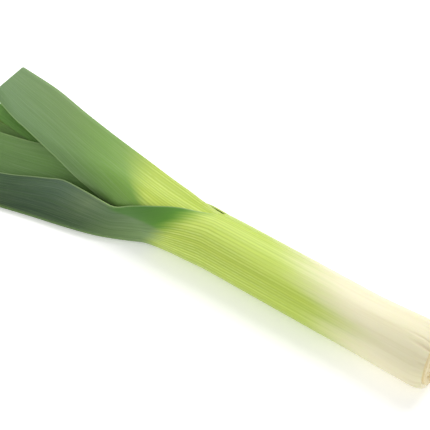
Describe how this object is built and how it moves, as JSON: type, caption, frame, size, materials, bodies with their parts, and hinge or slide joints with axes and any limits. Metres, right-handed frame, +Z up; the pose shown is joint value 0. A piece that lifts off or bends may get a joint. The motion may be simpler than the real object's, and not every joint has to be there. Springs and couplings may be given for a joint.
{
  "type": "leek",
  "caption": "Trimmed leek lying on its side: a straight white and green shaft of nested leaf sheaths that opens into a fan of folded blades, cut straight across.",
  "frame": {"origin": "middle of the flat strip under the shaft that the leek lies on", "axes": "+X along the shaft towards the root end, +Z up, +Y towards the side where the second leaf rises"},
  "size_m": [0.3578, 0.0975, 0.0446],
  "materials": {
    "leaf_outer": "waxy leaf, white at the root, yellow-green on the shaft, grey-green on the blade",
    "leaf_inner": "waxy leaf, mid green blade",
    "root_plate": "dry, matt, tan"
  },
  "bodies": {
    "root": {"leaf_1": "leaf_outer", "leaf_2": "leaf_outer", "leaf_3": "leaf_inner", "leaf_4": "leaf_inner", "leaf_5": "leaf_inner", "leaf_6": "leaf_inner", "basal_plate": "root_plate"}
  },
  "joints": []
}
